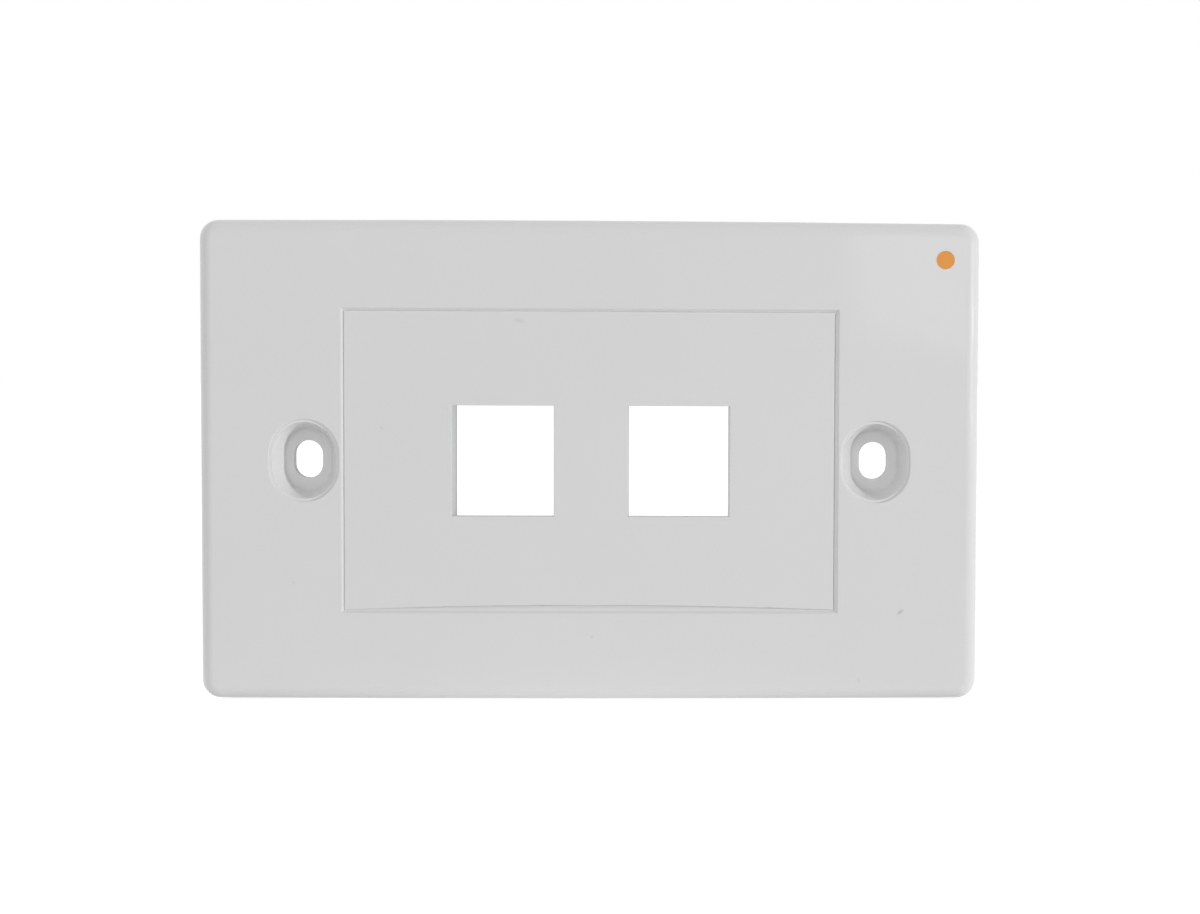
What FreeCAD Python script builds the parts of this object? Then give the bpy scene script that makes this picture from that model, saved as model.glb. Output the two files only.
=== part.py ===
import FreeCAD, Part
import math
import os
import Sketcher

# Two-port keystone faceplate, horizontal, for a wall box with two screws in line.
#
# Frame: millimetres. The origin is the centre of the wall plane, which the back rim lies on.
# +X is to the right and +Z is up for someone who faces the plate; the front looks along -Y.
# A height in this file is a distance from the wall plane towards that person.

document = FreeCAD.newDocument("keystone_faceplate")

DRIVING_SIZES = (
    # outer frame
    ("plate_width", 114.8),
    ("plate_height", 70.6),
    ("plate_depth", 10.0),
    ("side_draft", 1.0),          # degrees; the four sides lean in towards the face
    ("long_edge_bow", 0.22),      # the long edges stand out by this much at mid length
    ("corner_radius", 2.9),
    ("inner_corner_radius", 1.1),
    ("front_radius", 1.9),        # round between the face and the four sides
    ("inner_round", 0.9),         # the same round on the hollow side
    ("face_thickness", 2.2),
    ("side_wall", 2.0),
    # window for the insert
    ("window_mouth_height", 44.9),
    ("window_bevel", 1.2),        # 45 degree slope round the window, from the face inwards
    ("window_land", 0.45),        # face left between the window's bevel and a screw recess
    ("skirt_wall", 1.6),          # wall that runs back from the window's edge
    ("skirt_end_height", 2.5),
    ("seat_width", 1.4),          # ledge inside the skirt, which the insert lies on
    ("seat_thickness", 1.6),
    # screw recesses
    ("screw_spacing", 84.0),
    ("slot_width", 4.2),
    ("slot_straight", 1.4),       # distance between the two round ends' centres
    ("head_seat_width", 6.9),
    ("head_seat_depth", 4.6),
    ("head_seat_thickness", 2.0),
    ("recess_mouth_width", 9.3),
    ("recess_straight", 2.0),
    ("cap_step_width", 10.0),     # shallow step round the mouth, for a screw cap's rim
    ("cap_step_depth", 0.35),
    ("cap_step_round", 0.25),
    ("boss_width", 10.8),
    ("boss_bore_width", 7.6),     # hollow behind the screw seat
    ("seat_fillet", 0.6),
    ("slot_break", 0.15),         # softened edge where a slot meets its seat
    # stiffening ribs behind the face
    ("rib_thickness", 1.2),
    ("rib_spacing", 40.0),
    ("rib_setback", 1.5),         # ribs stop short of the wall plane
    # marker
    ("marker_diameter", 2.65),
    ("marker_thickness", 0.6),
    ("marker_clearance", 0.02),
    ("marker_from_side", 5.3),
    ("marker_from_top", 5.5),
    # insert
    ("insert_recess", 0.2),       # its face lies this far behind the frame's face
    ("insert_thickness", 2.0),
    ("nest_clearance", 0.03),     # between the insert's sloped rim and the window's bevel
    ("left_groove", 0.41),        # from the window's mouth to the insert's upright edge
    ("right_groove", 0.71),
    ("upright_groove", 0.46),     # the same above and below
    ("insert_bottom_bow", 0.7),   # the moulded lower edge is drawn in by this much at mid length
    ("insert_edge_break", 0.1),
    # keystone ports
    ("port_width", 15.0),
    ("port_height", 16.3),
    ("port_pitch", 25.9),
    ("port_depth", 9.4),          # from the insert's face to the back of a port's frame
    ("port_wall", 1.5),
    ("catch_room", 1.7),          # room below the aperture, for the jack's fixed hook
    ("latch_room", 3.2),          # room above it, for the jack's spring latch
    ("catch_lip", 1.0),
    ("latch_lip", 1.3),
    ("lip_thickness", 1.6),
    ("lip_lead_in", 0.7),
    # snap hooks of the insert
    ("hook_width", 8.0),
    ("hook_spacing", 48.0),
    ("hook_thickness", 1.4),
    ("hook_clearance", 0.15),
    ("barb_reach", 0.9),
    ("barb_length", 2.0),
)


class Size:
    """A length that knows its number now and its formula over the sheet's cells."""

    def __init__(self, formula, number):
        self.formula = formula
        self.number = number

    def __add__(self, other):
        other = as_size(other)
        return Size(f"({self.formula} + {other.formula})", self.number + other.number)

    def __sub__(self, other):
        other = as_size(other)
        return Size(f"({self.formula} - {other.formula})", self.number - other.number)

    def __mul__(self, other):
        other = as_size(other)
        return Size(f"({self.formula} * {other.formula})", self.number * other.number)

    def __truediv__(self, other):
        other = as_size(other)
        return Size(f"({self.formula} / {other.formula})", self.number / other.number)


def as_size(value):
    if isinstance(value, Size):
        return value
    return Size(f"({value})", float(value))


def make_sheet():
    sheet = document.addObject("Spreadsheet::Sheet", "sizes")
    sizes = {}
    for row, (name, number) in enumerate(DRIVING_SIZES, start=1):
        sheet.set(f"A{row}", name)
        sheet.set(f"B{row}", str(number))
        sheet.setAlias(f"B{row}", name)
        sizes[name] = Size(f"sizes.{name}", float(number))
    document.recompute()
    return sizes


SIZE = make_sheet()
ORIGIN = (-1, 1)      # a sketch's own origin point

# The window's mouth reaches from one screw recess almost to the other; its bevel narrows it.
WINDOW_MOUTH_WIDTH = SIZE["screw_spacing"] - SIZE["cap_step_width"] - SIZE["window_land"] * 2
WINDOW_WIDTH = WINDOW_MOUTH_WIDTH - SIZE["window_bevel"] * 2
WINDOW_HEIGHT = SIZE["window_mouth_height"] - SIZE["window_bevel"] * 2

# Heights that several pieces share.
FACE_BACK = SIZE["plate_depth"] - SIZE["face_thickness"]
INSERT_FACE = SIZE["plate_depth"] - SIZE["insert_recess"]
INSERT_SEAT = INSERT_FACE - SIZE["insert_thickness"]
SEAT_BACK = INSERT_SEAT - SIZE["seat_thickness"]
HEAD_SEAT = SIZE["plate_depth"] - SIZE["head_seat_depth"]

# The clear way through the window, inside the ledge.
WAY_WIDTH = WINDOW_WIDTH - SIZE["seat_width"] * 2
WAY_HEIGHT = WINDOW_HEIGHT - SIZE["seat_width"] * 2


# ---------------------------------------------------------------- sketches and features

def new_body(name):
    body = document.addObject("PartDesign::Body", name)
    body.Label = name
    return body


def origin_plane(body, role):
    for plane in body.Origin.OriginFeatures:
        if plane.Role == role:
            return plane
    raise ValueError(role)


def new_sketch(body, name, offset, role="XZ_Plane"):
    """A sketch parallel to one of the body's planes; by default seen from the front, offset from the wall."""
    offset = as_size(offset)
    sketch = body.newObject("Sketcher::SketchObject", name)
    sketch.AttachmentSupport = [(origin_plane(body, role), "")]
    sketch.MapMode = "FlatFace"
    sketch.AttachmentOffset = FreeCAD.Placement(FreeCAD.Vector(0, 0, offset.number), FreeCAD.Rotation())
    sketch.setExpression("AttachmentOffset.Base.z", offset.formula)
    return sketch


def bind(sketch, kind, *references_and_size):
    """Adds a dimension to the sketch and ties it to its formula."""
    *references, size = references_and_size
    size = as_size(size)
    number = sketch.addConstraint(Sketcher.Constraint(kind, *references, size.number))
    sketch.setExpression(f"Constraints[{number}]", size.formula)


def join_ends(sketch, kind, elements):
    """Joins each element's end to the next one's start, round the loop."""
    for here, there in zip(elements, elements[1:] + elements[:1]):
        sketch.addConstraint(Sketcher.Constraint(kind, here, 2, there, 1))


def add_line(sketch, start, end):
    line = Part.LineSegment(FreeCAD.Vector(*start, 0), FreeCAD.Vector(*end, 0))
    return sketch.addGeometry(line, False)


def add_arc(sketch, centre, radius, start, end):
    """An arc that turns anticlockwise between two angles."""
    circle = Part.Circle(FreeCAD.Vector(*centre, 0), FreeCAD.Vector(0, 0, 1), radius)
    return sketch.addGeometry(Part.ArcOfCircle(circle, start, end), False)


def add_polygon(sketch, corners):
    """A closed outline through corners given as pairs of sizes, each corner held by its sizes."""
    corners = [(as_size(across), as_size(up)) for across, up in corners]
    numbers = [(across.number, up.number) for across, up in corners]
    lines = [add_line(sketch, a, b) for a, b in zip(numbers, numbers[1:] + numbers[:1])]
    join_ends(sketch, "Coincident", lines)
    for line, (across, up) in zip(lines, corners):
        bind(sketch, "DistanceX", *ORIGIN, line, 1, across)
        bind(sketch, "DistanceY", *ORIGIN, line, 1, up)


def add_rectangle(sketch, left, right, bottom, top):
    add_polygon(sketch, [(left, bottom), (right, bottom), (right, top), (left, top)])


def add_centred_rectangle(sketch, width, height, across=0):
    left = as_size(across) - width / 2
    right = as_size(across) + width / 2
    add_rectangle(sketch, left, right, height / -2, height / 2)


def add_upright_slot(sketch, width, straight, across):
    """A slot with round ends, its straight sides upright, centred on the level of the origin."""
    radius = width / 2
    middle, half = as_size(across), straight / 2
    x, r, h = middle.number, radius.number, half.number
    top = add_arc(sketch, (x, h), r, 0, math.pi)
    left = add_line(sketch, (x - r, h), (x - r, -h))
    bottom = add_arc(sketch, (x, -h), r, math.pi, 2 * math.pi)
    right = add_line(sketch, (x + r, -h), (x + r, h))
    join_ends(sketch, "Tangent", [top, left, bottom, right])
    bind(sketch, "Radius", top, radius)
    bind(sketch, "DistanceX", *ORIGIN, top, 3, middle)
    bind(sketch, "DistanceY", *ORIGIN, top, 3, half)
    bind(sketch, "DistanceX", *ORIGIN, bottom, 3, middle)
    bind(sketch, "DistanceY", *ORIGIN, bottom, 3, half * -1)


def pad(body, name, sketch, length):
    feature = body.newObject("PartDesign::Pad", name)
    feature.Profile = sketch
    feature.Length = length.number
    feature.setExpression("Length", length.formula)
    return feature


def lean_in(feature, draft):
    """Makes a pad or pocket narrower towards its far end."""
    feature.TaperAngle = -draft.number
    feature.setExpression("TaperAngle", f"-{draft.formula}")


def pocket(body, name, sketch, depth=None, towards_front=False):
    """Cuts from the sketch towards the wall, or towards the front; right through without a depth."""
    feature = body.newObject("PartDesign::Pocket", name)
    feature.Profile = sketch
    feature.Reversed = towards_front
    if depth is None:
        feature.Type = "ThroughAll"
    else:
        feature.Length = depth.number
        feature.setExpression("Length", depth.formula)
    return feature


def dress_edges(body, kind, name, wanted, size):
    """A Fillet or Chamfer on the edges of the body so far whose middle point is wanted."""
    document.recompute()
    base = body.Tip
    names = []
    for number, edge in enumerate(base.Shape.Edges, start=1):
        middle = edge.valueAt((edge.FirstParameter + edge.LastParameter) / 2)
        if wanted(middle):
            names.append(f"Edge{number}")
    feature = body.newObject(f"PartDesign::{kind}", name)
    feature.Base = (base, names)
    measure = "Radius" if kind == "Fillet" else "Size"
    setattr(feature, measure, size.number)
    feature.setExpression(measure, size.formula)
    return feature


def near(value, target):
    return abs(value - target) < 0.01


def at_height(point, height):
    return near(-point.y, height.number)


def edges_at(height):
    """Picks out every edge that lies at one height."""
    def lies_there(middle):
        return at_height(middle, height)

    return lies_there


def on_rectangle(point, width, height):
    """True on the outline of a rectangle centred on the origin, seen from the front."""
    reach_across, reach_up = width.number / 2, height.number / 2
    beside = near(abs(point.x), reach_across) and abs(point.z) < reach_up
    above = near(abs(point.z), reach_up) and abs(point.x) < reach_across
    return beside or above


def on_upright_slot(point, width, straight, across):
    """True on the outline of an upright slot at the middle of one of its lines or round ends."""
    offset = abs(point.x - across.number)
    beside = near(offset, width.number / 2) and near(point.z, 0)
    above = near(offset, 0) and near(abs(point.z), (width + straight).number / 2)
    return beside or above


# ---------------------------------------------------------------- surround

def add_plate_outline(sketch, inset, corner_radius):
    """The plate's outline drawn in by inset: round corners, upright sides, bowed long edges."""
    half_width = SIZE["plate_width"] / 2 - inset
    apex = SIZE["plate_height"] / 2 - inset + SIZE["long_edge_bow"]
    # The chord from side to side and its rise give the long edges' radius.
    bow = SIZE["long_edge_bow"]
    bow_radius = (half_width * half_width + bow * bow) / (bow * 2)
    bow_centre = apex - bow_radius

    x, r, big = half_width.number, corner_radius.number, bow_radius.number
    centre_up = bow_centre.number
    corner_x = x - r
    corner_up = centre_up + math.sqrt((big - r) ** 2 - corner_x ** 2)
    lean = math.atan2(corner_up - centre_up, corner_x)
    half_turn = math.pi

    right = add_line(sketch, (x, -corner_up), (x, corner_up))
    upper_right = add_arc(sketch, (corner_x, corner_up), r, 0, lean)
    top = add_arc(sketch, (0, centre_up), big, lean, half_turn - lean)
    upper_left = add_arc(sketch, (-corner_x, corner_up), r, half_turn - lean, half_turn)
    left = add_line(sketch, (-x, corner_up), (-x, -corner_up))
    lower_left = add_arc(sketch, (-corner_x, -corner_up), r, half_turn, half_turn + lean)
    bottom = add_arc(sketch, (0, -centre_up), big, half_turn + lean, 2 * half_turn - lean)
    lower_right = add_arc(sketch, (corner_x, -corner_up), r, 2 * half_turn - lean, 2 * half_turn)

    loop = [right, upper_right, top, upper_left, left, lower_left, bottom, lower_right]
    join_ends(sketch, "Tangent", loop)
    for side in (left, right):
        sketch.addConstraint(Sketcher.Constraint("Vertical", side))
    bind(sketch, "DistanceX", *ORIGIN, right, 1, half_width)
    bind(sketch, "DistanceX", *ORIGIN, left, 1, half_width * -1)
    for corner in (upper_right, upper_left, lower_left, lower_right):
        bind(sketch, "Radius", corner, corner_radius)
    for long_edge, height in ((top, bow_centre), (bottom, bow_centre * -1)):
        bind(sketch, "Radius", long_edge, bow_radius)
        bind(sketch, "DistanceX", *ORIGIN, long_edge, 3, 0)
        bind(sketch, "DistanceY", *ORIGIN, long_edge, 3, height)


def build_shell(body):
    """The hollow box of the frame: face, four sides and their round front edge."""
    outline = new_sketch(body, "plate_outline", 0)
    add_plate_outline(outline, 0, SIZE["corner_radius"])
    lean_in(pad(body, "plate_block", outline, SIZE["plate_depth"]), SIZE["side_draft"])
    dress_edges(body, "Fillet", "front_round", edges_at(SIZE["plate_depth"]), SIZE["front_radius"])

    hollow = new_sketch(body, "hollow_outline", 0)
    add_plate_outline(hollow, SIZE["side_wall"], SIZE["inner_corner_radius"])
    lean_in(pocket(body, "hollow", hollow, FACE_BACK, towards_front=True), SIZE["side_draft"])
    dress_edges(body, "Fillet", "inner_round", edges_at(FACE_BACK), SIZE["inner_round"])


def build_skirt_bosses_and_ribs(body):
    """What stands behind the face: the window's skirt, the two screw bosses and the ribs."""
    skirt = new_sketch(body, "skirt_outline", SIZE["skirt_end_height"])
    add_centred_rectangle(
        skirt, WINDOW_WIDTH + SIZE["skirt_wall"] * 2, WINDOW_HEIGHT + SIZE["skirt_wall"] * 2)
    pad(body, "skirt_block", skirt, FACE_BACK - SIZE["skirt_end_height"])

    bosses = new_sketch(body, "boss_outlines", 0)
    for side in (-1, 1):
        across = SIZE["screw_spacing"] / 2 * side
        add_upright_slot(bosses, SIZE["boss_width"], SIZE["recess_straight"], across)
    pad(body, "screw_bosses", bosses, FACE_BACK)

    ribs = new_sketch(body, "rib_outlines", SIZE["rib_setback"])
    half_rib = SIZE["rib_thickness"] / 2
    from_skirt = WINDOW_HEIGHT / 2 + SIZE["skirt_wall"] / 2
    to_long_side = SIZE["plate_height"] / 2 - SIZE["side_wall"] / 2
    from_boss = SIZE["screw_spacing"] / 2 + SIZE["boss_bore_width"] / 2 + half_rib
    to_short_side = SIZE["plate_width"] / 2 - SIZE["side_wall"] / 2
    for side in (-1, 1):
        across = SIZE["rib_spacing"] / 2 * side
        add_rectangle(ribs, across - half_rib, across + half_rib, from_skirt, to_long_side)
        add_rectangle(ribs, across - half_rib, across + half_rib, to_long_side * -1, from_skirt * -1)
    add_rectangle(ribs, from_boss, to_short_side, half_rib * -1, half_rib)
    add_rectangle(ribs, to_short_side * -1, from_boss * -1, half_rib * -1, half_rib)
    pad(body, "ribs", ribs, FACE_BACK - SIZE["rib_setback"])


def cut_window(body):
    """The stepped window: the insert's place in front, a ledge round it, hook room behind."""
    place = new_sketch(body, "insert_place_outline", SIZE["plate_depth"])
    add_centred_rectangle(place, WINDOW_WIDTH, WINDOW_HEIGHT)
    pocket(body, "insert_place", place, SIZE["plate_depth"] - INSERT_SEAT)

    def on_window_edge(middle):
        return at_height(middle, SIZE["plate_depth"]) and on_rectangle(middle, WINDOW_WIDTH, WINDOW_HEIGHT)

    dress_edges(body, "Chamfer", "window_bevel", on_window_edge, SIZE["window_bevel"])

    way = new_sketch(body, "way_outline", SIZE["plate_depth"])
    add_centred_rectangle(way, WAY_WIDTH, WAY_HEIGHT)
    pocket(body, "way_through", way)

    hook_room = new_sketch(body, "hook_room_outline", 0)
    add_centred_rectangle(hook_room, WINDOW_WIDTH, WINDOW_HEIGHT)
    pocket(body, "hook_room", hook_room, SEAT_BACK, towards_front=True)


def soften_slot_edge(body, name, height, width, straight, across, radius):
    """Rounds the outline of an upright slot where it lies at the given height."""
    def on_outline(middle):
        return at_height(middle, height) and on_upright_slot(middle, width, straight, across)

    dress_edges(body, "Fillet", name, on_outline, radius)


def cut_screw_recess(body, side_name, side):
    """One screw place: cap step, tapered wall down to the head's seat, upright slot, hollow boss."""
    across = SIZE["screw_spacing"] / 2 * side
    straight = SIZE["recess_straight"]
    mouth_height = SIZE["plate_depth"] - SIZE["cap_step_depth"]

    step = new_sketch(body, f"cap_step_outline_{side_name}", SIZE["plate_depth"])
    add_upright_slot(step, SIZE["cap_step_width"], straight, across)
    pocket(body, f"cap_step_{side_name}", step, SIZE["cap_step_depth"])
    soften_slot_edge(
        body, f"cap_step_round_{side_name}", SIZE["plate_depth"], SIZE["cap_step_width"], straight, across,
        SIZE["cap_step_round"])

    mouth = new_sketch(body, f"recess_mouth_{side_name}", mouth_height)
    add_upright_slot(mouth, SIZE["recess_mouth_width"], straight, across)
    seat = new_sketch(body, f"head_seat_{side_name}", HEAD_SEAT)
    add_upright_slot(seat, SIZE["head_seat_width"], straight, across)
    taper = body.newObject("PartDesign::SubtractiveLoft", f"recess_taper_{side_name}")
    taper.Profile = mouth
    taper.Sections = [seat]

    soften_slot_edge(
        body, f"seat_fillet_{side_name}", HEAD_SEAT, SIZE["head_seat_width"], straight, across,
        SIZE["seat_fillet"])

    slot = new_sketch(body, f"slot_outline_{side_name}", SIZE["plate_depth"])
    add_upright_slot(slot, SIZE["slot_width"], SIZE["slot_straight"], across)
    pocket(body, f"screw_slot_{side_name}", slot)
    soften_slot_edge(
        body, f"slot_break_{side_name}", HEAD_SEAT, SIZE["slot_width"], SIZE["slot_straight"], across,
        SIZE["slot_break"])

    bore = new_sketch(body, f"boss_bore_outline_{side_name}", 0)
    add_upright_slot(bore, SIZE["boss_bore_width"], straight, across)
    pocket(body, f"boss_bore_{side_name}", bore, HEAD_SEAT - SIZE["head_seat_thickness"], towards_front=True)


def marker_place():
    across = SIZE["plate_width"] / 2 - SIZE["marker_from_side"]
    up = SIZE["plate_height"] / 2 - SIZE["marker_from_top"]
    return across, up


def add_marker_circle(sketch, diameter):
    across, up = marker_place()
    centre = FreeCAD.Vector(across.number, up.number, 0)
    circle = Part.Circle(centre, FreeCAD.Vector(0, 0, 1), diameter.number / 2)
    round_outline = sketch.addGeometry(circle, False)
    bind(sketch, "Diameter", round_outline, diameter)
    bind(sketch, "DistanceX", *ORIGIN, round_outline, 3, across)
    bind(sketch, "DistanceY", *ORIGIN, round_outline, 3, up)


def build_surround():
    body = new_body("surround")
    build_shell(body)
    build_skirt_bosses_and_ribs(body)
    cut_window(body)
    cut_screw_recess(body, "left", -1)
    cut_screw_recess(body, "right", 1)

    marker_seat = new_sketch(body, "marker_seat_outline", SIZE["plate_depth"])
    add_marker_circle(marker_seat, SIZE["marker_diameter"] + SIZE["marker_clearance"] * 2)
    pocket(body, "marker_seat", marker_seat, SIZE["marker_thickness"])
    return body


# ---------------------------------------------------------------- insert

PORT_BACK = INSERT_FACE - SIZE["port_depth"]
HALF_PORT = SIZE["port_height"] / 2
ROOM_TOP = HALF_PORT + SIZE["latch_room"]
ROOM_BOTTOM = (HALF_PORT + SIZE["catch_room"]) * -1
MOUTH_TOP = ROOM_TOP - SIZE["latch_lip"]
MOUTH_BOTTOM = ROOM_BOTTOM + SIZE["catch_lip"]


def add_port_rectangles(sketch, bottom, top, margin=0):
    """The same rectangle round each port's centre line, wider than the aperture by margin a side."""
    half = SIZE["port_width"] / 2 + margin
    for side in (-1, 1):
        across = SIZE["port_pitch"] / 2 * side
        add_rectangle(sketch, across - half, across + half, bottom, top)


def add_face_outline(sketch):
    """The insert's visible outline, its lower edge drawn in along a shallow arc."""
    left = WINDOW_MOUTH_WIDTH / -2 + SIZE["left_groove"]
    right = WINDOW_MOUTH_WIDTH / 2 - SIZE["right_groove"]
    top = SIZE["window_mouth_height"] / 2 - SIZE["upright_groove"]
    bottom = top * -1
    bow = SIZE["insert_bottom_bow"]
    half_width = (right - left) / 2
    middle = (right + left) / 2
    bow_radius = (half_width * half_width + bow * bow) / (bow * 2)
    bow_centre = bottom + bow - bow_radius

    lower_right, lower_left = (right.number, bottom.number), (left.number, bottom.number)
    upper_right, upper_left = (right.number, top.number), (left.number, top.number)
    right_side = add_line(sketch, lower_right, upper_right)
    top_side = add_line(sketch, upper_right, upper_left)
    left_side = add_line(sketch, upper_left, lower_left)
    lean = math.asin(half_width.number / bow_radius.number)
    centre = (middle.number, bow_centre.number)
    lower_edge = add_arc(sketch, centre, bow_radius.number, math.pi / 2 - lean, math.pi / 2 + lean)

    for here, there in ((right_side, top_side), (top_side, left_side)):
        sketch.addConstraint(Sketcher.Constraint("Coincident", here, 2, there, 1))
    sketch.addConstraint(Sketcher.Constraint("Coincident", left_side, 2, lower_edge, 2))
    sketch.addConstraint(Sketcher.Constraint("Coincident", lower_edge, 1, right_side, 1))
    held_points = (
        (right_side, 1, right, bottom), (right_side, 2, right, top),
        (left_side, 1, left, top), (left_side, 2, left, bottom))
    for line, end, across, up in held_points:
        bind(sketch, "DistanceX", *ORIGIN, line, end, across)
        bind(sketch, "DistanceY", *ORIGIN, line, end, up)
    bind(sketch, "Radius", lower_edge, bow_radius)


def add_nest_outline(sketch, growth):
    """The rectangle that fills the window but for its clearance, larger by growth on every side."""
    spread = (growth - SIZE["nest_clearance"]) * 2
    add_centred_rectangle(sketch, WINDOW_WIDTH + spread, WINDOW_HEIGHT + spread)


def build_insert_face(body):
    """The insert's face: a flat panel whose rim nests in the window's bevel, trimmed to its upright edge."""
    slope_foot = SIZE["plate_depth"] - SIZE["window_bevel"]
    slope_rise = INSERT_FACE - slope_foot

    panel = new_sketch(body, "panel_outline", INSERT_SEAT)
    add_nest_outline(panel, as_size(0))
    pad(body, "panel", panel, slope_foot - INSERT_SEAT)

    foot = new_sketch(body, "rim_foot_outline", slope_foot)
    add_nest_outline(foot, as_size(0))
    rim = new_sketch(body, "rim_outline", INSERT_FACE)
    add_nest_outline(rim, slope_rise)
    slope = body.newObject("PartDesign::AdditiveLoft", "rim_slope")
    slope.Profile = foot
    slope.Sections = [rim]

    trim = new_sketch(body, "rim_trim_outline", INSERT_FACE)
    add_centred_rectangle(trim, WINDOW_WIDTH + slope_rise * 4, WINDOW_HEIGHT + slope_rise * 4)
    add_face_outline(trim)
    pocket(body, "rim_trim", trim, slope_rise)


def build_ports(body):
    """Two keystone frames: aperture, room for the jack's hook and latch, and a lip for each to catch."""
    frames = new_sketch(body, "port_frame_outlines", PORT_BACK)
    wall = SIZE["port_wall"]
    add_port_rectangles(frames, ROOM_BOTTOM - wall, ROOM_TOP + wall, wall)
    pad(body, "port_frames", frames, INSERT_SEAT - PORT_BACK)

    apertures = new_sketch(body, "aperture_outlines", INSERT_FACE)
    add_port_rectangles(apertures, HALF_PORT * -1, HALF_PORT)
    pocket(body, "apertures", apertures)

    lip_front = PORT_BACK + SIZE["lip_thickness"]
    rooms = new_sketch(body, "jack_room_outlines", lip_front)
    add_port_rectangles(rooms, ROOM_BOTTOM, ROOM_TOP)
    pocket(body, "jack_rooms", rooms, INSERT_SEAT - lip_front, towards_front=True)

    mouths = new_sketch(body, "port_mouth_outlines", PORT_BACK)
    add_port_rectangles(mouths, MOUTH_BOTTOM, MOUTH_TOP)
    pocket(body, "port_mouths", mouths, SIZE["lip_thickness"], towards_front=True)

    def on_lip_edge(middle):
        on_lip = near(middle.z, MOUTH_TOP.number) or near(middle.z, MOUTH_BOTTOM.number)
        return at_height(middle, PORT_BACK) and on_lip

    dress_edges(body, "Chamfer", "lip_lead_ins", on_lip_edge, SIZE["lip_lead_in"])


def build_snap_hook(body, name, across, side):
    """A springing arm with a barb that catches behind the ledge; side is 1 for the upper row."""
    sketch = new_sketch(body, f"{name}_profile", across - SIZE["hook_width"] / 2, role="YZ_Plane")
    outer = WAY_HEIGHT / 2 - SIZE["hook_clearance"]
    inner = outer - SIZE["hook_thickness"]
    barb_tip = outer + SIZE["barb_reach"]
    catch = SEAT_BACK - SIZE["hook_clearance"]
    end = catch - SIZE["barb_length"]
    # Along the sketch's first axis, places in front of the wall plane are negative.
    corners = [
        (INSERT_SEAT, inner), (INSERT_SEAT, outer), (catch, outer),
        (catch, barb_tip), (end, outer), (end, inner)]
    add_polygon(sketch, [(height * -1, up * side) for height, up in corners])
    pad(body, name, sketch, SIZE["hook_width"])


def build_insert():
    body = new_body("keystone_insert")
    build_insert_face(body)
    build_ports(body)
    dress_edges(body, "Fillet", "face_edge_break", edges_at(INSERT_FACE), SIZE["insert_edge_break"])
    for row_name, side in (("upper", 1), ("lower", -1)):
        for place_name, place in (("left", -1), ("right", 1)):
            build_snap_hook(body, f"{row_name}_{place_name}_hook", SIZE["hook_spacing"] / 2 * place, side)
    return body


# ---------------------------------------------------------------- marker

def build_marker():
    """The small round marker, flush with the face in its blind seat."""
    body = new_body("marker_dot")
    sketch = new_sketch(body, "marker_outline", SIZE["plate_depth"] - SIZE["marker_thickness"])
    add_marker_circle(sketch, SIZE["marker_diameter"])
    pad(body, "marker_disc", sketch, SIZE["marker_thickness"])
    return body


# ---------------------------------------------------------------- checks and files

def check(pieces):
    for item in document.Objects:
        if "Invalid" in item.State or "Error" in item.State:
            raise RuntimeError(f"{item.Label}: {item.State}")
    for piece in pieces:
        shape = piece.Shape
        if shape.isNull() or not shape.isValid() or len(shape.Solids) != 1:
            raise RuntimeError(f"{piece.Label}: not one valid solid")


def main():
    pieces = [build_surround(), build_insert(), build_marker()]
    for piece in pieces:
        piece.Placement = FreeCAD.Placement()
    document.recompute()
    check(pieces)
    os.makedirs("parts", exist_ok=True)
    for piece in pieces:
        piece.Shape.exportStep(f"parts/{piece.Label}.step")
        box = piece.Shape.BoundBox
        print(f"{piece.Label}: {piece.Shape.Volume:.1f} mm3, "
              f"{box.XLength:.2f} x {box.YLength:.2f} x {box.ZLength:.2f} mm")


main()
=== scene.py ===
import math

import bpy
from mathutils import Matrix, Vector


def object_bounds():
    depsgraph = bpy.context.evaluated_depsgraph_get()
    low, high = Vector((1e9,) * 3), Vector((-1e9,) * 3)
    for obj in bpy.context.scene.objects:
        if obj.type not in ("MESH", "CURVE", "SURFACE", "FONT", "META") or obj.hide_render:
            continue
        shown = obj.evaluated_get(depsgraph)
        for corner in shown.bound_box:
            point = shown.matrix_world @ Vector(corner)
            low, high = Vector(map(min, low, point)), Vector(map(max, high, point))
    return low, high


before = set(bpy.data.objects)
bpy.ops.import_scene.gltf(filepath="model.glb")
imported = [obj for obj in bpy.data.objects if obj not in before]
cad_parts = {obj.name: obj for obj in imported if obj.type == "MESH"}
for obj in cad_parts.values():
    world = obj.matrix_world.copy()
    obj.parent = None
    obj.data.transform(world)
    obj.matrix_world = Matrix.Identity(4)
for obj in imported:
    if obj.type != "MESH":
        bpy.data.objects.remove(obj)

cad_low, cad_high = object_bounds()
MM = 0.001


# ---------------------------------------------------------------- surround
# The outer frame: one injection moulding in glossy white ABS, polished where it shows
# and duller inside. Two screws through its slots hold it to the wall box.

SURROUND_COLOUR = (0.758, 0.758, 0.761, 1)
SCUFF_COLOUR = (0.25, 0.25, 0.25, 1)
PLASTIC_IOR = 1.5

# Painted light: the colour is painted lighter in the grooves round the insert, and in the screw
# recesses by less, standing in for light that soaks through the plastic. The limits are measured from
# the middle of the plate and along its depth.
GROOVE_PAINTED_LIGHT = 0.14                               # how much lighter a groove is
RECESS_SHARE = 0.4                        # a recess's share of that
SCREW_OFFSET = 42.0 * MM
RECESS_REACH = (5.1 * MM, 6.3 * MM)       # across and up, from a screw's place
WINDOW_REACH = (36.8 * MM, 23.2 * MM)     # across and up, from the middle
PAINTED_LIGHT_BEGINS = (-9.79 * MM, -9.6 * MM)     # none at the first depth, all of it at the second
PAINTED_LIGHT_FADES = (-8.6 * MM, -6.4 * MM)       # all of it at the first depth, none at the second
SEAT_LEVEL = -5.2 * MM                    # just behind the seats of the screw heads

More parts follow.
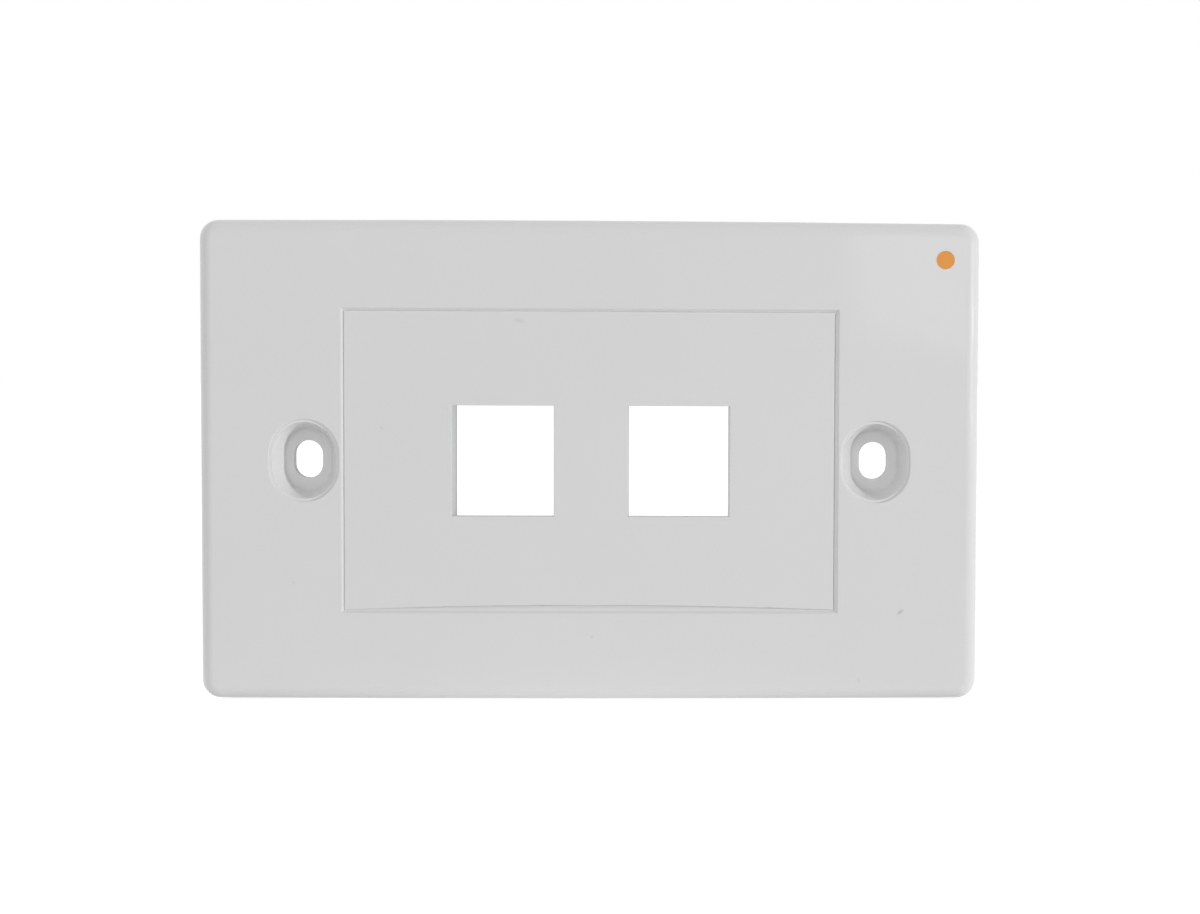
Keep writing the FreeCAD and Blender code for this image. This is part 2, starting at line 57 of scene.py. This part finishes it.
CLOUD_SCALE = 45.0
SPECK_SCALE = 95.0
SPECK_CHOICE = 0.93                       # the share of cells that hold no speck
SPECK_RADII = (0.012, 0.03)               # full strength inside the first, none past the second
SPECK_DARKNESS = 0.16
RUB_SCALE = 260.0
RUB_SPREAD = 0.12                         # how far the polish varies
BACK_DULLNESS = 0.28                      # added roughness where the plastic faces the wall
SWEEP_SCALE = 22.0                        # slow waves from the mould's sink
PEEL_SCALE, PEEL_HEIGHT = 700.0, 0.012
GRAIN_SCALE, GRAIN_HEIGHT = 3200.0, 0.03
BUMP_STRENGTH, BUMP_DISTANCE = 0.5, 0.0012


def new_group(name, inputs, outputs):
    """An empty shader node group; inputs are (name, kind, default) rows, outputs (name, kind)."""
    group = bpy.data.node_groups.new(name, "ShaderNodeTree")
    for socket_name, kind, default in inputs:
        socket = group.interface.new_socket(socket_name, in_out="INPUT", socket_type=kind)
        if default is not None:
            socket.default_value = default
    for socket_name, kind in outputs:
        group.interface.new_socket(socket_name, in_out="OUTPUT", socket_type=kind)
    return group


def feed(tree, socket, value):
    """Links another node's output to the socket, or sets a plain value on it."""
    if isinstance(value, bpy.types.NodeSocket):
        tree.links.new(value, socket)
    else:
        socket.default_value = value


def add_node(tree, kind, settings=None, **sockets):
    """Adds a node, sets its own settings, and feeds its inputs by name."""
    node = tree.nodes.new(kind)
    for name, value in (settings or {}).items():
        setattr(node, name, value)
    for name, value in sockets.items():
        feed(tree, node.inputs[name.replace("_", " ")], value)
    return node


def calculate(tree, operation, *terms, clamp=False):
    node = add_node(tree, "ShaderNodeMath", {"operation": operation, "use_clamp": clamp})
    for socket, term in zip(node.inputs, terms):
        feed(tree, socket, term)
    return node.outputs[0]


def multiply(tree, first, *others):
    for other in others:
        first = calculate(tree, "MULTIPLY", first, other)
    return first


def smooth_step(tree, value, begin, end, low=0.0, high=1.0):
    """Goes smoothly from low to high while the value goes from begin to end."""
    node = add_node(
        tree, "ShaderNodeMapRange", {"interpolation_type": "SMOOTHSTEP"},
        Value=value, From_Min=begin, From_Max=end, To_Min=low, To_Max=high)
    return node.outputs["Result"]


def mix_colours(tree, mask, first, second):
    node = add_node(tree, "ShaderNodeMix", {"data_type": "RGBA"})
    feed(tree, node.inputs[0], mask)
    feed(tree, node.inputs[6], first)
    feed(tree, node.inputs[7], second)
    return node.outputs[2]


def noise(tree, place, scale, detail=2.0):
    return add_node(tree, "ShaderNodeTexNoise", Vector=place, Scale=scale, Detail=detail).outputs["Fac"]


def noise_about_zero(tree, place, scale, detail):
    return calculate(tree, "SUBTRACT", noise(tree, place, scale, detail), 0.5)


def find_specks(tree, place):
    """A mask of stray dark specks, in a few of the cells."""
    cells = add_node(tree, "ShaderNodeTexVoronoi", {"feature": "F1"}, Vector=place, Scale=SPECK_SCALE)
    picked = add_node(tree, "ShaderNodeSeparateColor", Color=cells.outputs["Color"])
    chosen = calculate(tree, "GREATER_THAN", picked.outputs[0], SPECK_CHOICE)
    dot = smooth_step(tree, cells.outputs["Distance"], *SPECK_RADII, SPECK_DARKNESS, 0.0)
    return multiply(tree, dot, chosen)


def find_painted_light_in_grooves(tree, place, dull_side):
    """A mask of the grooves and recesses whose colour is painted lighter, as painted light."""
    across, depth, up = add_node(tree, "ShaderNodeSeparateXYZ", Vector=place).outputs
    faces_back = calculate(tree, "GREATER_THAN", dull_side, 0.5)
    below_face = smooth_step(tree, depth, *PAINTED_LIGHT_BEGINS)
    below_face = calculate(tree, "SUBTRACT", below_face, faces_back, clamp=True)
    off_centre = calculate(tree, "ABSOLUTE", across)
    off_middle = calculate(tree, "ABSOLUTE", up)
    off_screw = calculate(tree, "ABSOLUTE", calculate(tree, "SUBTRACT", off_centre, SCREW_OFFSET))
    in_recess = multiply(
        tree, calculate(tree, "LESS_THAN", off_screw, RECESS_REACH[0]),
        calculate(tree, "LESS_THAN", off_middle, RECESS_REACH[1]),
        calculate(tree, "LESS_THAN", depth, SEAT_LEVEL), RECESS_SHARE)
    in_window = multiply(
        tree, calculate(tree, "LESS_THAN", off_centre, WINDOW_REACH[0]),
        calculate(tree, "LESS_THAN", off_middle, WINDOW_REACH[1]),
        smooth_step(tree, depth, *PAINTED_LIGHT_FADES, 1.0, 0.0))
    return multiply(tree, below_face, calculate(tree, "MAXIMUM", in_recess, in_window))


def build_moulded_skin():
    """Polished moulded plastic: faint clouding, stray dark specks, painted light that lightens the
    grooves and recesses, a skin that is not quite flat.
    """
    group = new_group(
        "moulded_skin",
        [("Place", "NodeSocketVector", None), ("Colour", "NodeSocketColor", (0.6, 0.6, 0.6, 1)),
         ("Clouding", "NodeSocketFloat", 0.02), ("Polish", "NodeSocketFloat", 0.2),
         ("Dull Side", "NodeSocketFloat", 0.0), ("Soak", "NodeSocketFloat", 0.0)],
        [("Colour", "NodeSocketColor"), ("Roughness", "NodeSocketFloat"), ("Height", "NodeSocketFloat")])
    given = group.nodes.new("NodeGroupInput").outputs
    result = group.nodes.new("NodeGroupOutput").inputs
    place = given["Place"]
    dull_side = given["Dull Side"]

    clouds = multiply(group, noise_about_zero(group, place, CLOUD_SCALE, 3.0), given["Clouding"], 2.0)
    shade = calculate(group, "ADD", clouds, 1.0)
    shade = calculate(group, "SUBTRACT", shade, find_specks(group, place))
    # Painted light: the colour is made lighter in the grooves and recesses.
    groove_lightening = multiply(group, find_painted_light_in_grooves(group, place, dull_side), given["Soak"])
    shade = calculate(group, "ADD", shade, groove_lightening)
    scaled = add_node(group, "ShaderNodeVectorMath", {"operation": "SCALE"}, Scale=shade)
    feed(group, scaled.inputs[0], given["Colour"])
    feed(group, result["Colour"], scaled.outputs[0])

    spread = multiply(group, noise_about_zero(group, place, RUB_SCALE, 4.0), RUB_SPREAD)
    polish = calculate(group, "ADD", given["Polish"], spread)
    dulled = multiply(group, dull_side, BACK_DULLNESS)
    feed(group, result["Roughness"], calculate(group, "ADD", polish, dulled, clamp=True))

    sweep = noise(group, place, SWEEP_SCALE, 1.0)
    peel = multiply(group, noise(group, place, PEEL_SCALE), PEEL_HEIGHT)
    grain = multiply(group, noise(group, place, GRAIN_SCALE), dull_side, GRAIN_HEIGHT)
    height = calculate(group, "ADD", calculate(group, "ADD", sweep, peel), grain)
    feed(group, result["Height"], height)
    return group


MOULDED_SKIN = build_moulded_skin()


def moulded_plastic(name, colour, clouding, polish, groove_light=0.0, scuffs=()):
    """Glossy moulded plastic. Scuffs are rubbed marks: (centre, length, width, turn, strength),
    in millimetres and degrees."""
    material = bpy.data.materials.new(name)
    material.use_nodes = True
    tree = material.node_tree
    shader = tree.nodes["Principled BSDF"]
    where = tree.nodes.new("ShaderNodeTexCoord")
    facing = add_node(tree, "ShaderNodeSeparateXYZ", Vector=where.outputs["Normal"])
    dull_side = calculate(tree, "MAXIMUM", facing.outputs["Y"], 0.0, clamp=True)
    # Painted light goes into the colour of the grooves and recesses.
    skin = add_node(
        tree, "ShaderNodeGroup", {"node_tree": MOULDED_SKIN}, Place=where.outputs["Object"],
        Dull_Side=dull_side, Colour=colour, Clouding=clouding, Polish=polish, Soak=groove_light)
    surface = skin.outputs["Colour"]
    for centre, length, width, turn, strength in scuffs:
        mapping = add_node(
            tree, "ShaderNodeMapping", {"vector_type": "TEXTURE"}, Vector=where.outputs["Object"],
            Location=[v * MM for v in centre], Rotation=(0, math.radians(turn), 0),
            Scale=(length * MM / 2, 2 * MM, width * MM / 2))
        ball = add_node(
            tree, "ShaderNodeTexGradient", {"gradient_type": "SPHERICAL"}, Vector=mapping.outputs[0])
        mask = calculate(tree, "MULTIPLY", ball.outputs["Fac"], strength, clamp=True)
        surface = mix_colours(tree, mask, surface, SCUFF_COLOUR)
    bump = add_node(
        tree, "ShaderNodeBump", Height=skin.outputs["Height"],
        Strength=BUMP_STRENGTH, Distance=BUMP_DISTANCE)
    feed(tree, shader.inputs["Base Color"], surface)
    feed(tree, shader.inputs["Roughness"], skin.outputs["Roughness"])
    feed(tree, shader.inputs["Normal"], bump.outputs["Normal"])
    shader.inputs["IOR"].default_value = PLASTIC_IOR
    return material


def dress(node, material):
    """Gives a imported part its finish."""
    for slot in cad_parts[node].material_slots:
        slot.material = material


# Its grooves and recesses get painted light in their colour.
dress("surround", moulded_plastic(
    "surround_plastic", SURROUND_COLOUR, 0.012, 0.07, groove_light=GROOVE_PAINTED_LIGHT,
    scuffs=[((45.8, -10, -22.2), 1.5, 0.6, -40, 0.5), ((0.2, -10, -25.9), 0.9, 0.6, 0, 0.16),
            ((39.7, -10, -32.4), 0.8, 1.0, 15, 0.12), ((-43.5, -10, -18.0), 0.9, 0.5, 40, 0.14)]))


# ---------------------------------------------------------------- keystone insert
# The centre panel with the two keystone frames: a second moulding in the same plastic,
# pushed in from the front until its four hooks snap behind the window's ledge.

INSERT_COLOUR = (0.757, 0.757, 0.76, 1)

# Its grooves get painted light in their colour.
dress("keystone_insert", moulded_plastic(
    "insert_plastic", INSERT_COLOUR, 0.014, 0.09, groove_light=GROOVE_PAINTED_LIGHT,
    scuffs=[((-10.5, -9.8, 20.6), 2.2, 0.8, 10, 0.18), ((-30.6, -9.8, 4.8), 1.0, 0.5, 30, 0.15),
            ((26.4, -9.8, -21.6), 1.4, 0.7, 10, 0.14), ((30.3, -9.8, -21.9), 0.9, 0.6, -10, 0.16)]))


# ---------------------------------------------------------------- marker
# The small orange dot that tells the wiring's kind: a coloured plastic disc pressed
# flush into a blind seat near the corner.

MARKER_COLOUR = (0.84, 0.33, 0.048, 1)

dress("marker_dot", moulded_plastic("marker_plastic", MARKER_COLOUR, 0.02, 0.3))


# ---------------------------------------------------------------- studio
# The plate stands on its lower edge on a pale floor, in a white room, with one strong lamp
# low on its right. Three weak lamps show only in its gloss.

FLOOR_COLOUR = (0.75, 0.75, 0.75, 1)
FLOOR_SIZE = 6
FLOOR_GLOW, FLOOR_GLOW_IN_GLOSS = 0.6, 0.5
# Painted light: a pool of glow on the floor under the plate, standing in for the light that the floor
# gives back.
POOL_LIGHT = 0.3                 # light that the floor gives back under the plate
POOL_REACH = (0.1, 0.05, 1)      # how far that goes, across and in depth

# A card inside each opening keeps the room's light from coming in behind it. It shows as
# white from the front, and not at all from behind.
CARD_COLOUR = (0.4, 0.4, 0.4, 1)
CARD_GLOW, CARD_GLOW_IN_GLOSS = 1.0, 0.45
PORT_CARD = dict(offset=12.95, up=0.6, depth=-0.65, width=15.8, height=20.6)     # millimetres
SLOT_CARD = dict(offset=42.0, up=0, depth=-3.5, width=4.4, height=5.8)

# The room's light by direction, from straight in front of the plate (-1) to behind it (1).
ROOM_LIGHT = ((-1, 0.97), (-0.7, 0.69), (-0.3, 0.42), (0.0, 0.46), (0.3, 1.04))
LEFT_SIDE_LIGHT = 0.29           # how much more comes from straight left, and less from the right


def stage_material(name, colour, glow, glow_in_gloss, pool=0.0, one_sided=False):
    """Matt paint that also glows for the camera, so that pale things end as white; with a pool it also
    glows under the plate as painted light.
    """
    material = bpy.data.materials.new(name)
    material.use_nodes = True
    tree = material.node_tree
    tree.nodes.clear()
    paint = add_node(tree, "ShaderNodeBsdfDiffuse", Color=colour)
    ray = tree.nodes.new("ShaderNodeLightPath").outputs
    seen = calculate(tree, "MAXIMUM", ray["Is Camera Ray"], ray["Is Transmission Ray"])
    direct = multiply(tree, seen, glow)
    mirrored = multiply(tree, ray["Is Glossy Ray"], glow_in_gloss)
    strength = calculate(tree, "MAXIMUM", direct, mirrored)
    # Painted light: a glowing pool round the floor's middle, under the plate.
    if pool:
        where = tree.nodes.new("ShaderNodeTexCoord")
        around = add_node(
            tree, "ShaderNodeMapping", {"vector_type": "TEXTURE"},
            Vector=where.outputs["Object"], Scale=POOL_REACH)
        fading = add_node(
            tree, "ShaderNodeTexGradient", {"gradient_type": "SPHERICAL"}, Vector=around.outputs[0])
        strength = calculate(tree, "ADD", strength, multiply(tree, fading.outputs["Fac"], pool))
    light = add_node(tree, "ShaderNodeEmission", Strength=strength)
    both = tree.nodes.new("ShaderNodeAddShader")
    tree.links.new(paint.outputs[0], both.inputs[0])
    tree.links.new(light.outputs[0], both.inputs[1])
    surface = both
    if one_sided:
        side = tree.nodes.new("ShaderNodeNewGeometry")
        clear = tree.nodes.new("ShaderNodeBsdfTransparent")
        surface = tree.nodes.new("ShaderNodeMixShader")
        tree.links.new(side.outputs["Backfacing"], surface.inputs[0])
        tree.links.new(both.outputs[0], surface.inputs[1])
        tree.links.new(clear.outputs[0], surface.inputs[2])
    output = tree.nodes.new("ShaderNodeOutputMaterial")
    tree.links.new(surface.outputs[0], output.inputs["Surface"])
    return material


bpy.ops.mesh.primitive_plane_add(size=FLOOR_SIZE, location=(0, 0, cad_low.z))
floor = bpy.context.object
floor.name = "floor"
floor.data.materials.append(stage_material(
    "floor_paint", FLOOR_COLOUR, FLOOR_GLOW, FLOOR_GLOW_IN_GLOSS, pool=POOL_LIGHT))

card_paint = stage_material("card_paint", CARD_COLOUR, CARD_GLOW, CARD_GLOW_IN_GLOSS, one_sided=True)


def backing_card(name, side, offset, up, depth, width, height):
    bpy.ops.mesh.primitive_plane_add(
        size=1, location=(side * offset * MM, depth * MM, up * MM), rotation=(math.pi / 2, 0, 0))
    card = bpy.context.object
    card.name = name
    card.scale = (width * MM, height * MM, 1)
    card.data.materials.append(card_paint)


for side_name, side in (("left", -1), ("right", 1)):
    backing_card(f"port_card_{side_name}", side, **PORT_CARD)
    backing_card(f"slot_card_{side_name}", side, **SLOT_CARD)


def light_room():
    """Full white where the room is seen or mirrored, and shaded by direction where it lights."""
    world = bpy.data.worlds.new("room")
    bpy.context.scene.world = world
    world.use_nodes = True
    tree = world.node_tree
    ray = tree.nodes.new("ShaderNodeLightPath").outputs
    seen = calculate(tree, "MAXIMUM", ray["Is Camera Ray"], ray["Is Glossy Ray"])
    seen = calculate(tree, "MAXIMUM", seen, ray["Is Transmission Ray"])
    where = tree.nodes.new("ShaderNodeTexCoord")
    direction = add_node(tree, "ShaderNodeSeparateXYZ", Vector=where.outputs["Generated"]).outputs
    depth = calculate(tree, "ADD", multiply(tree, direction["Y"], 0.5), 0.5)
    levels = add_node(tree, "ShaderNodeValToRGB", Fac=depth)
    stops = levels.color_ramp.elements
    while len(stops) < len(ROOM_LIGHT):
        stops.new(0.5)
    for stop, (place, level) in zip(stops, ROOM_LIGHT):
        stop.position = (place + 1) / 2
        stop.color = (level, level, level, 1)
    sideways = multiply(tree, direction["X"], -LEFT_SIDE_LIGHT)
    ambient = calculate(tree, "ADD", levels.outputs["Color"], sideways)
    unseen = calculate(tree, "SUBTRACT", 1.0, seen)
    brightness = calculate(tree, "ADD", seen, multiply(tree, unseen, ambient))
    background = tree.nodes["Background"].inputs
    background["Color"].default_value = (1, 1, 1, 1)
    feed(tree, background["Strength"], brightness)


light_room()


def soft_lamp(name, place, target, width, height, power, glossy=True, diffuse=True):
    data = bpy.data.lights.new(name, "AREA")
    data.shape = "RECTANGLE"
    data.size = width
    data.size_y = height
    data.energy = power
    lamp = bpy.data.objects.new(name, data)
    bpy.context.scene.collection.objects.link(lamp)
    direction = Vector(target) - Vector(place)
    lamp.rotation_euler = direction.to_track_quat("-Z", "Y").to_euler()
    lamp.location = place
    lamp.visible_camera = False
    lamp.visible_glossy = glossy
    lamp.visible_diffuse = diffuse


# The key lights the recesses' left walls and leaves the screw seats in shade.
soft_lamp("right_key", (1.432, -0.714, 0.02), (0, 0, 0), 0.08, 0.08, 11.4, glossy=False)
# The window is the pale patch in the top right corner's gloss.
soft_lamp("window_card", (0.185, -1.0, 0.115), (0.05, 0, 0), 0.13, 0.17, 0.055, diffuse=False)
# The side card brightens the right edge's round, and the streak card draws a thin line on it.
soft_lamp("side_card", (0.85, -0.65, 0.045), (0.05, 0, 0.045), 0.5, 0.17, 0.34, diffuse=False)
soft_lamp("streak_card", (0.501, -0.238, 0.035), (0.056, 0, 0.022), 0.15, 0.0125, 0.02, diffuse=False)


# ---------------------------------------------------------------- camera
# It stands in front, a little to the right and above, and looks slightly down. The lens's
# shift brings the plate to the middle of the frame.

CAMERA_PLACE = Vector((11.09, -340.38, 16.38)) * MM
CAMERA_TILT, CAMERA_TURN, CAMERA_ROLL = (math.radians(v) for v in (2.716, -1.628, 0.175))
SENSOR_WIDTH = 36                # millimetres, as the lens
LENS = 67.395
SIDEWAYS_SHIFT = -0.1083333      # of the frame's width

camera_data = bpy.data.cameras.new("camera")
camera = bpy.data.objects.new("camera", camera_data)
bpy.context.scene.collection.objects.link(camera)
bpy.context.scene.camera = camera
camera_data.sensor_fit = "HORIZONTAL"
camera_data.sensor_width = SENSOR_WIDTH
camera_data.lens = LENS
camera_data.shift_x = SIDEWAYS_SHIFT
camera_data.clip_start = 0.01
camera_data.clip_end = 100
towards_plate = Matrix(((1, 0, 0), (0, 0, -1), (0, 1, 0)))
turned = (Matrix.Rotation(CAMERA_ROLL, 3, "Z") @ Matrix.Rotation(CAMERA_TURN, 3, "Y")
          @ Matrix.Rotation(CAMERA_TILT, 3, "X") @ towards_plate)
columns = Matrix((turned[0], -turned[1], -turned[2])).transposed()
camera.matrix_world = Matrix.Translation(CAMERA_PLACE) @ columns.to_4x4()

bpy.context.scene.view_settings.view_transform = "Standard"
